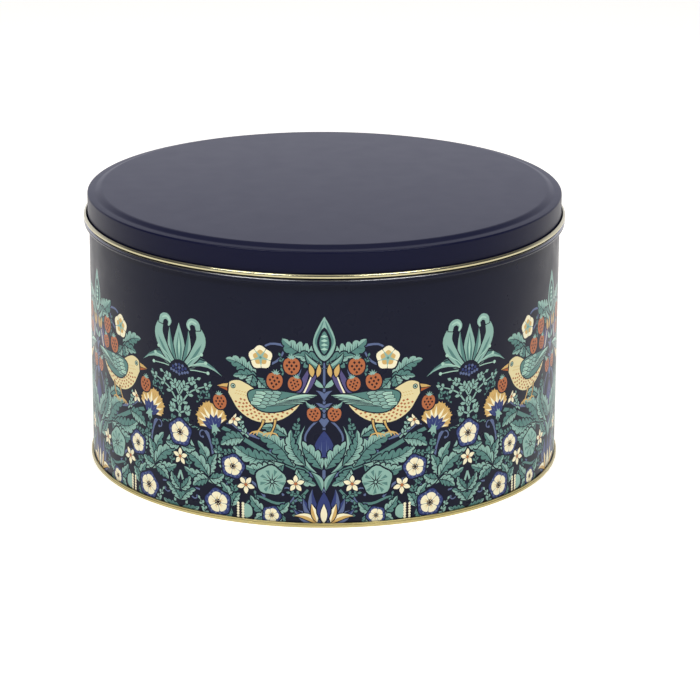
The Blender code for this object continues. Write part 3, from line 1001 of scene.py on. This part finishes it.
def cut_papers():
    """The flat mesh's corners, its faces, and the number of the topmost ink on each face."""
    strip = [0, HALF, HALF + 1j * PRINT_FOOT, 1j * PRINT_FOOT]
    sheet = [1j * SHEET_FOOT, HALF + 1j * SHEET_FOOT, HALF + 1j * SHEET_TOP, 1j * SHEET_TOP]
    papers = [("ground", sheet)] + laid + [("ground", strip)]
    corners, outlines, inks = [], [], []
    for ink, outline in papers:
        outline = outline if outline in (strip, sheet) else trimmed(outline)
        if len(outline) > 2:
            outlines.append(list(range(len(corners), len(corners) + len(outline))))
            corners += [Vector((complex(p).real, complex(p).imag)) for p in outline]
            inks.append(INKS.index(ink))
    cut, _, faces, _, _, covers = delaunay_2d_cdt(corners, [], outlines, 1, CUT_PRECISION, True)
    shown = [(face, inks[max(papers)]) for face, papers in zip(faces, covers) if 0 in papers]
    return cut, [face for face, _ in shown], [ink for _, ink in shown]


def split_to_triangles():
    """Splits every face of the active piece into well-shaped triangles."""
    edit_all()
    bpy.ops.mesh.quads_convert_to_tris(ngon_method="BEAUTY")
    bpy.ops.object.mode_set(mode="OBJECT")


def flat_half():
    """Half a repeat as one flat mesh of triangles, each with its ink."""
    corners, faces, inks = cut_papers()
    mesh = bpy.data.meshes.new("printed_sheet")
    mesh.from_pydata([(p.x * MM, p.y * MM, 0) for p in corners], [], faces)
    for finish in prints.values():
        mesh.materials.append(finish)
    mesh.polygons.foreach_set("material_index", inks)
    sheet = bpy.data.objects.new("printed_sheet", mesh)
    bpy.context.collection.objects.link(sheet)
    bpy.ops.object.select_all(action="DESELECT")
    sheet.select_set(True)
    bpy.context.view_layer.objects.active = sheet
    edit_all()
    bpy.ops.mesh.delete_loose()
    for column in range(1, COLUMNS):
        edit_all()
        bpy.ops.mesh.bisect(plane_co=(HALF * MM * column / COLUMNS, 0, 0), plane_no=(1, 0, 0))
        bpy.ops.mesh.mark_seam()
    edit_all()
    bpy.ops.mesh.dissolve_limited(angle_limit=radians(4), delimit={"MATERIAL", "SEAM"})
    edit_all()
    bpy.ops.mesh.mark_seam(clear=True)
    split_to_triangles()
    return sheet


wall = flat_half()
print("flat half repeat:", len(wall.data.polygons), "triangles")

# %% [markdown]
# **Round the tin.** The half is mirrored, and the pair is copied on until five repeats make up the
# blank, which is how the printer steps a plate across the sheet. Then the blank is rolled up. Every
# point keeps its height and moves to the circle, at the angle that its distance along the sheet
# works out to.

# %% Mirror, repeat and roll the sheet
REPEATS = 5


def repeat_sheet():
    """Mirrors the half and copies the pair along until the blank is complete."""
    edit_all()
    bpy.ops.mesh.duplicate()
    bpy.ops.transform.resize(value=(-1, 1, 1), center_override=(0, 0, 0))
    bpy.ops.mesh.flip_normals()
    bpy.ops.mesh.select_all(action="SELECT")
    for _ in range(REPEATS - 1):
        bpy.ops.mesh.duplicate_move(TRANSFORM_OT_translate={"value": (2 * HALF * MM, 0, 0)})
    bpy.ops.object.mode_set(mode="OBJECT")


def roll_up(sheet):
    """Bends the flat blank to a cylinder. The plate's first mirror line comes to the front."""
    flat = np.empty(len(sheet.data.vertices) * 3)
    sheet.data.vertices.foreach_get("co", flat)
    along, up, _ = flat.reshape(-1, 3).T
    angle = along * pi / (REPEATS * HALF * MM)
    rolled = np.stack([WALL_RADIUS * np.sin(angle), -WALL_RADIUS * np.cos(angle), up], axis=1)
    sheet.data.vertices.foreach_set("co", rolled.ravel())
    sheet.data.update()


repeat_sheet()
roll_up(wall)
print("printed wall:", len(wall.data.polygons), "triangles")

# %% [markdown]
# **The rest of the wall.** Above the frieze the sheet is beaded outwards, which stops the lid, and it
# carries on as a neck inside the lid to a mouth that is rolled inwards. The navy ink ends a little
# below the mouth, as a printer's margin, and from there on the lacquered gold face shows: round the
# roll, down the inside and out under the base's rim. Two sections are drawn, one for the navy outside
# and one for the gold, and they meet the printed sheet edge to edge, so that the three become one
# closed sheet.

# %% Bead, neck, mouth and lining
MARGIN_Z = 139.5 * MM       # where the navy ink ends under the mouth
WALL_STEPS = 2 * REPEATS * COLUMNS
BEAD_STEPS = 10
RUBBED_Z = BEAD_Z + 0.4 * MM    # the lid polishes the bead's crest above this
HOOK_TOP = RIM_HEIGHT - 0.55 * MM   # the wall's hook ends under the fold of the rim


def crest_ends(radius):
    """Where a bead's crest of this radius starts and ends, the lower place first."""
    reach = radius * rect(1, radians(BEAD_SWEEP / 2))
    return [(BEAD_RADIUS + reach.real, BEAD_Z + side * reach.imag) for side in (-1, 1)]


def add_neck():
    """The outside from the printed sheet's top over the stop bead to the margin under the mouth."""
    root_low, root_high = [(WALL_RADIUS, BEAD_Z + side * BEAD_ROOT) for side in (-1, 1)]
    low, high = crest_ends(BEAD_CREST / 2)
    neck = draw_section("neck", [(WALL_RADIUS, SHEET_TOP * MM), root_low, low])
    roll_edge(BEAD_RADIUS, BEAD_Z, BEAD_SWEEP, BEAD_STEPS)
    extend_section([high, root_high, (WALL_RADIUS, MARGIN_Z)])
    round_corner(neck, root_low, 0.35 * MM, 3)
    round_corner(neck, root_high, 0.35 * MM, 3)
    turn_section(WALL_STEPS)
    for finish in (pressed, polished):
        neck.data.materials.append(finish)
    for face in neck.data.polygons:
        on_crest = face.center.xy.length > BEAD_RADIUS + BEAD_CREST / 4
        face.material_index = int(on_crest and face.center.z > RUBBED_Z)
    return neck


def add_lining():
    """The gold face: round the mouth's roll, down the inside and round the hook under the rim."""
    mouth = WALL_RADIUS - MOUTH_CURL / 2
    roll_foot = MOUTH_Z - MOUTH_CURL / 2
    root = BEAD_ROOT - 0.2 * MM
    low, high = crest_ends(BEAD_CREST / 2 - GAUGE)
    foot = wall_low.z
    hook_outer = HOOK_RADIUS + GAUGE
    lining = draw_section("lining", [(WALL_RADIUS, MARGIN_Z), (WALL_RADIUS, MOUTH_Z)])
    roll_edge(mouth, MOUTH_Z, ROLL_SWEEP, ROLL_STEPS)
    extend_section([(mouth, roll_foot), (mouth, roll_foot + GAUGE)])
    roll_edge(mouth, MOUTH_Z, -ROLL_SWEEP, ROLL_STEPS)
    extend_section([(LINING_RADIUS, MOUTH_Z), (LINING_RADIUS, BEAD_Z + root), high])
    roll_edge(BEAD_RADIUS, BEAD_Z, -BEAD_SWEEP, BEAD_STEPS)
    extend_section([
        low, (LINING_RADIUS, BEAD_Z - root), (LINING_RADIUS, foot), (hook_outer, foot),
        (hook_outer, HOOK_TOP), (HOOK_RADIUS, HOOK_TOP), (HOOK_RADIUS, foot + GAUGE),
        (WALL_RADIUS, foot + GAUGE), (WALL_RADIUS, SHEET_FOOT * MM),
    ])
    turn_section(WALL_STEPS)
    lining.data.materials.append(pale_gold)
    return lining


neck, lining = add_neck(), add_lining()
bpy.ops.object.select_all(action="DESELECT")
for piece in (wall, neck, lining):
    piece.select_set(True)
bpy.context.view_layer.objects.active = wall
bpy.ops.object.join()
wall.name = wall.data.name = "printed_wall"
print("finishes on the wall:", [slot.name for slot in wall.material_slots])

# %% [markdown]
# **The side seam.** The blank's two ends are hooked together at the back and pressed flat. Outside, the
# print stops a few millimetres short of the joint, which leaves a plain navy strip with the seam
# standing a tenth of a millimetre proud in it. The fold itself stands into the tin as a narrow band.

# %% Plain strip and proud seam at the back
STRIP = 3.2 * MM            # from the seam's middle to where the frieze begins again
SEAM = 2.2 * MM             # from the seam's middle to its edge
SEAM_PROUD = 0.12 * MM
SEAM_SHOULDER = 0.15 * MM   # how wide the step up to the proud seam is


def on_sheet(place):
    """Whether a place is at a height that the printed sheet covers, its two edges included."""
    return SHEET_FOOT * MM - NEAR < place.z < SHEET_TOP * MM + NEAR


def at_back(place, reach):
    """Whether a place is on the printed face of the wall and this near to the seam's middle."""
    outside = place.xy.length > WALL_RADIUS - GAUGE / 2
    return place.y > 0 and abs(place.x) < reach and outside and on_sheet(place)


def press_seam(piece):
    """Cuts the strip and the seam's edges, prints the strip plain and lets the seam stand proud."""
    for edge in (STRIP, SEAM + SEAM_SHOULDER, SEAM):
        for side in (-1, 1):
            select_places(piece, lambda place: at_back(place, 4 * STRIP))
            bpy.ops.mesh.bisect(plane_co=(side * edge, 0, 0), plane_no=(1, 0, 0))
    bpy.ops.object.mode_set(mode="OBJECT")
    ground = INKS.index("ground")
    for face in piece.data.polygons:
        if at_back(face.center, STRIP):
            face.material_index = ground
    select_places(piece, lambda place: at_back(place, STRIP + NEAR))
    bpy.ops.mesh.dissolve_limited(angle_limit=radians(1), delimit={"MATERIAL"})
    split_to_triangles()
    for corner in piece.data.vertices:
        if at_back(corner.co, SEAM + NEAR) and 2 * SHEET_FOOT < corner.co.z / MM < SHEET_TOP - 1:
            corner.co.y += SEAM_PROUD


def faces_on_edges(piece):
    """How many faces meet at each edge. A closed sheet has two at every one."""
    return np.bincount([loop.edge_index for loop in piece.data.loops], minlength=len(piece.data.edges))


close_up()
press_seam(wall)
odd_edges = int((faces_on_edges(wall) != 2).sum())
print("wall:", len(wall.data.polygons), "triangles,", odd_edges, "edges that don't join two faces")

# %% [markdown]
# **Keeping the cylinder smooth.** The printed face is made of thousands of long and short triangles,
# and ordinary smooth shading would let each pull the light a little its own way. The true normal of a
# cylinder is known exactly: it points straight out from the axis. So it is set outright on the printed
# points, and the rest of the sheet keeps the normals that Blender works out.

# %% Smooth the wall
def point_straight_out(piece):
    """Smooths the piece and sets the printed points' normals straight out from the axis."""
    bpy.ops.object.shade_smooth_by_angle(angle=SMOOTH_BELOW)
    normals = []
    for place in (corner.co for corner in piece.data.vertices):
        printed = abs(place.xy.length - WALL_RADIUS) < 2 * SEAM_PROUD and on_sheet(place)
        normals.append(Vector((place.x, place.y, 0) if printed else (0, 0, 0)).normalized())
    piece.data.normals_split_custom_set_from_vertices(normals)


point_straight_out(wall)
print("wall", size_of(wall), "mm")

# %% [markdown]
# **The fold inside.** Hooking the ends together puts four layers of sheet on top of each other, and the
# press flattens them into a band half a millimetre deep. It starts as a long block whose edges are
# bevelled. Two cuts along it then make a step, which is the free edge of the last layer. Its back lies
# a little way into the wall, so that no gap shows between them.

# %% The fold inside
FOLD_FOOT, FOLD_TOP = 7.45 * MM, 123.15 * MM
FOLD_DEPTH = 0.55 * MM
FOLD_ROUND = 0.18 * MM      # the bevel on its edges
FREE_EDGE = 1.05 * MM       # from the seam's middle to the step of the free edge
STEP_WIDTH = 0.15 * MM
STEP_DEPTH = 0.15 * MM
FOLD_SINK = 0.08 * MM       # how far its back lies in the wall


def make_fold():
    """A long band with rounded edges and one free edge on it."""
    face = LINING_RADIUS - FOLD_DEPTH
    back = LINING_RADIUS + FOLD_SINK
    bpy.ops.object.select_all(action="DESELECT")
    middle = (0, (face + back) / 2, (FOLD_FOOT + FOLD_TOP) / 2)
    bpy.ops.mesh.primitive_cube_add(size=1, location=middle)
    fold = bpy.context.object
    fold.name = fold.data.name = "side_seam_fold"
    edit_all()
    bpy.ops.transform.resize(value=(2 * SEAM + 0.1 * MM, back - face, FOLD_TOP - FOLD_FOOT))
    bpy.ops.mesh.bevel(offset=FOLD_ROUND, segments=3)
    bpy.ops.object.mode_set(mode="OBJECT")
    bpy.ops.object.transform_apply(location=True, rotation=False, scale=False)
    for x in (FREE_EDGE, FREE_EDGE + STEP_WIDTH):
        edit_all()
        bpy.ops.mesh.bisect(plane_co=(x, 0, 0), plane_no=(1, 0, 0))
    beyond = FREE_EDGE + STEP_WIDTH / 2
    select_places(fold, lambda place: place.x > beyond and place.y < face + 0.1 * MM)
    bpy.ops.transform.translate(value=(0, STEP_DEPTH, 0))
    bpy.ops.object.mode_set(mode="OBJECT")
    fold.data.materials.append(pale_gold)
    bpy.ops.object.shade_smooth_by_angle(angle=SMOOTH_BELOW)
    return fold


fold = make_fold()
print("seam fold", size_of(fold), "mm")

# %% [markdown]
# **The setting.** The tin stands on a plain white floor that runs far enough back to fill the view. A
# glossy dark thing shows mostly what it mirrors, so the light is planned by reflection. The world is a
# tent that is bright low behind the tin, which the lid mirrors as an even sheen, and dark before it,
# so that the front of the wall keeps its navy. One softbox hangs overhead. Two strip lights stand high
# to the front left and front right, and draw the pale line along the bead and the curl. The paper
# floor glows a little itself, as a backdrop lit from below does, and shows no edge.

# %% Floor and light
FLOOR_SIZE = 12             # metres
FLOOR_GLOW = 0.52           # strength of the paper's own light
PAPER_GRAIN = 0.8 * MM


def make_floor():
    """A wide sheet of matt white paper."""
    bpy.ops.object.select_all(action="DESELECT")
    bpy.ops.mesh.primitive_plane_add(size=FLOOR_SIZE)
    floor = bpy.context.object
    floor.name = floor.data.name = "studio_floor"
    material, tree, shader, place = new_finish("matt_white_paper")
    grain = add(tree, "TexNoise", {"Vector": place, "Scale": 1 / PAPER_GRAIN, "Detail": 2.0})
    tooth = add(tree, "Bump", {"Height": grain.outputs["Fac"], "Strength": 0.05, "Distance": 0.02 * MM})
    tree.links.new(tooth.outputs["Normal"], shader.inputs["Normal"])
    for name, value in (("Base Color", linear("F8F4EE")), ("Roughness", 0.9),
                        ("Specular IOR Level", 0.0), ("Emission Color", linear("FFFEF8")),
                        ("Emission Strength", FLOOR_GLOW)):
        shader.inputs[name].default_value = value
    floor.data.materials.append(material)
    return floor


def area_light(name, place, aim, width, height, power):
    """A rectangle of light at a place, turned towards another, with its power in watts."""
    bpy.ops.object.light_add(type="AREA", location=place)
    light = bpy.context.object
    light.name = name
    light.data.shape = "RECTANGLE"
    light.data.size = width
    light.data.size_y = height
    light.data.energy = power
    light.rotation_euler = (Vector(aim) - Vector(place)).to_track_quat("-Z", "Y").to_euler()


def light_tent(behind, before, overhead):
    """A world whose strength depends on the direction: low behind the tin, before it, and overhead."""
    world = bpy.data.worlds.new("light_tent")
    world.use_nodes = True
    bpy.context.scene.world = world
    tree = world.node_tree
    way = add(tree, "TexCoord").outputs["Generated"]
    parts = add(tree, "SeparateXYZ", {"Vector": way})
    low_behind = add(tree, "Math", {0: parts.outputs["Y"], 1: parts.outputs["Z"]},
                     operation="SUBTRACT")
    along = add(tree, "MapRange", {"Value": low_behind.outputs["Value"], "From Min": -0.2,
                                   "From Max": 0.62, "To Min": before, "To Max": behind},
                interpolation_type="SMOOTHSTEP")
    up = add(tree, "MapRange", {"Value": parts.outputs["Z"], "From Min": 0.35, "From Max": 1.0})
    both = add(tree, "Mix", {"Factor": up.outputs["Result"], "A": along.outputs["Result"],
                             "B": overhead})
    tent = tree.nodes["Background"]
    tent.inputs["Color"].default_value = linear("ECEDFC")
    tree.links.new(both.outputs["Result"], tent.inputs["Strength"])


floor = make_floor()
light_tent(behind=1.26, before=0.1, overhead=0.36)
area_light("overhead_softbox", (0, 0.1, 1.5), (0, 0, 0), 1.4, 1.4, 3.0)
for name, x in (("left_strip_light", -0.72), ("right_strip_light", 0.72)):
    area_light(name, (x, -0.79, 1.52), (0, 0, 0.1), 0.9, 0.2, 13)

# %% [markdown]
# **The camera** stands well back with a long lens, a little above the tin, so the rims show as narrow
# ellipses and the walls stay upright. Colours are shown as they are, with no film curve over them.

# %% Camera
DISTANCE = 1.6831           # metres from the camera to the tin's middle
ELEVATION = radians(16.89)
ROLL = radians(0.3)
MIDDLE = Vector((0, 0, 0.0762))
AIM_RIGHT = 13.74 * MM      # the aim is a little to the right of the tin's middle and below it
AIM_DOWN = 20.8 * MM
LENS = 162.05


def set_camera():
    """A camera in front of the tin and above it, aimed a little off the tin's middle."""
    up = Vector((0, sin(ELEVATION), cos(ELEVATION)))
    eye = MIDDLE + DISTANCE * Vector((0, -cos(ELEVATION), sin(ELEVATION)))
    aim = MIDDLE + Vector((AIM_RIGHT, 0, 0)) - up * AIM_DOWN
    bpy.ops.object.camera_add(location=eye)
    camera = bpy.context.object
    camera.rotation_euler = (aim - eye).to_track_quat("-Z", "Y").to_euler()
    camera.rotation_euler.rotate_axis("Z", ROLL)
    camera.data.lens = LENS
    camera.data.sensor_width = 36
    camera.data.clip_end = 30
    bpy.context.scene.camera = camera
    return camera


camera = set_camera()
bpy.context.scene.view_settings.view_transform = "Standard"
print("camera", round(DISTANCE, 2), "m away with a", round(camera.data.lens), "mm lens")

# %% [markdown]
# **Which piece moves with what.** The lid slides up off the tin, and all the rest stays with the tin.
# Three of the pieces stand for a sheet of the measured model, which is hidden in their favour. The
# fold is extra detail on the wall. The floor is only scenery.

# %% Attach the pieces to their bodies
for piece, body, finish in ((lid, "lid", "navy_enamel"), (wall, "tin", "printed_tinplate"),
                            (fold, "tin", "printed_tinplate"), (base, "tin", "gold_lacquer")):
    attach(piece, body)
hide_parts("lid")
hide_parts("body_wall")
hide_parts("base")
for piece in (lid, wall, fold, base):
    print(piece.name, len(piece.data.polygons), "faces")
